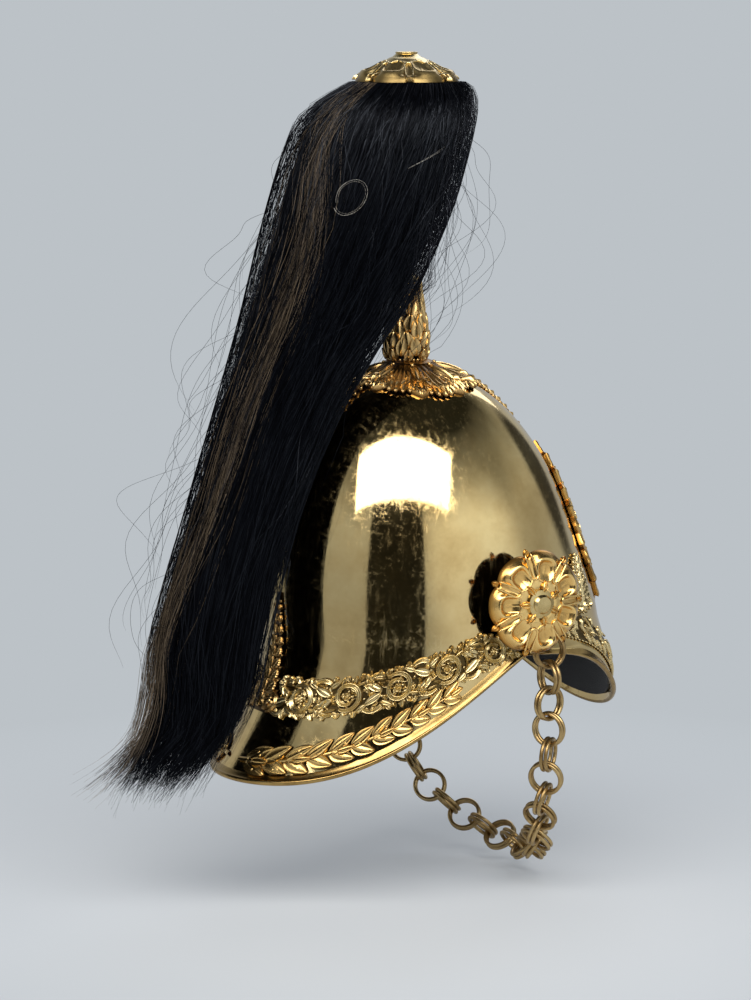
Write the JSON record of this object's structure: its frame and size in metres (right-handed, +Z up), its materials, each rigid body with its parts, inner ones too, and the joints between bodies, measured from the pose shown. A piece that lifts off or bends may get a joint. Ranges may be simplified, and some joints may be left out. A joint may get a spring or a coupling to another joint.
{
  "type": "dragoon helmet",
  "caption": "Brass dragoon helmet with drooping front and rear peaks, foliage mounts, ear rosettes, a swinging ring chin chain and a lift-out falling horsehair plume.",
  "frame": {"origin": "on the plume's axis at the level of the sweatband, where the wearer's head carries the helmet", "axes": "+Z up along the plume's stem, -Y to the front of the helmet, -X to the wearer's right"},
  "size_m": [0.2458, 0.3904, 0.5617],
  "materials": {
    "polished_brass": "polished, finely scratched",
    "gilt_brass": "matte gilding, burnished on the high parts",
    "bronzed_brass": "darkened gilding, worn bright on the high parts",
    "aged_brass": "satin with a brown patina",
    "horsehair": "glossy black hair",
    "brown_leather": "smooth, worn",
    "black_leather": "dull black",
    "cord": "plain twisted cord"
  },
  "bodies": {
    "helmet": {"skull": "polished_brass", "front_edge": "polished_brass", "rear_edge": "polished_brass", "side_band_right": "gilt_brass", "side_band_left": "gilt_brass", "front_band": "gilt_brass", "rear_ornament": "gilt_brass", "laurel_right": "bronzed_brass", "laurel_left": "bronzed_brass", "front_spray_right": "gilt_brass", "front_spray_left": "gilt_brass", "front_plate": "gilt_brass", "plate_boss": "polished_brass", "crown_plate": "bronzed_brass", "socket_tube": "bronzed_brass", "socket_leaves": "bronzed_brass", "crown_washer": "polished_brass", "crown_nut": "polished_brass", "ear_rosette_right": "gilt_brass", "ear_rosette_left": "gilt_brass", "rosette_boss_right": "gilt_brass", "rosette_boss_left": "gilt_brass", "rosette_post_right": "polished_brass", "rosette_post_left": "polished_brass", "chain_hook_right": "aged_brass", "chain_hook_left": "aged_brass", "sweatband": "brown_leather", "crown_tongues": "brown_leather", "tongue_cord": "cord", "front_facing": "black_leather", "rear_facing": "black_leather"},
    "plume": {"plume_stem": "polished_brass", "plume_disc": "bronzed_brass", "plume_hair": "horsehair"},
    "plume_top": {"top_rosette": "gilt_brass", "top_cap": "gilt_brass"},
    "hangers": {"chain_hangers": "aged_brass"},
    "right_leg": {"chain_right": "aged_brass"},
    "bottom": {"chain_bottom": "aged_brass"},
    "left_leg": {"chain_left": "aged_brass"}
  },
  "joints": [
    {"name": "plume_lift", "type": "slide", "parent": "helmet", "child": "plume", "axis": [0, 0, 1], "range_m": [0, 0.045]},
    {"name": "top_cap_turn", "type": "hinge", "parent": "plume", "child": "plume_top", "pos_m": [0, 0, 0.36], "axis": [0, 0, 1], "range_deg": [0, 360]},
    {"name": "chain_swing", "type": "hinge", "parent": "helmet", "child": "hangers", "pos_m": [0, -0.051, -0.004], "axis": [1, 0, 0], "range_deg": [-24, 30]},
    {"name": "chain_sway", "type": "hinge", "parent": "hangers", "child": "right_leg", "pos_m": [-0.1037, -0.051, -0.0205], "axis": [0, 1, 0], "range_deg": [-6, 6]},
    {"name": "bottom_link", "type": "hinge", "parent": "right_leg", "child": "bottom", "pos_m": [-0.1037, -0.051, -0.0734], "axis": [0, 1, 0], "range_deg": [-6, 6]},
    {"name": "left_link", "type": "hinge", "parent": "bottom", "child": "left_leg", "pos_m": [0.1037, -0.051, -0.0734], "axis": [0, 1, 0], "range_deg": [-6, 6]}
  ],
  "couplings": [
    {"joint": "bottom_link", "follows": "chain_sway", "ratio": -1},
    {"joint": "left_link", "follows": "chain_sway", "ratio": 1}
  ]
}
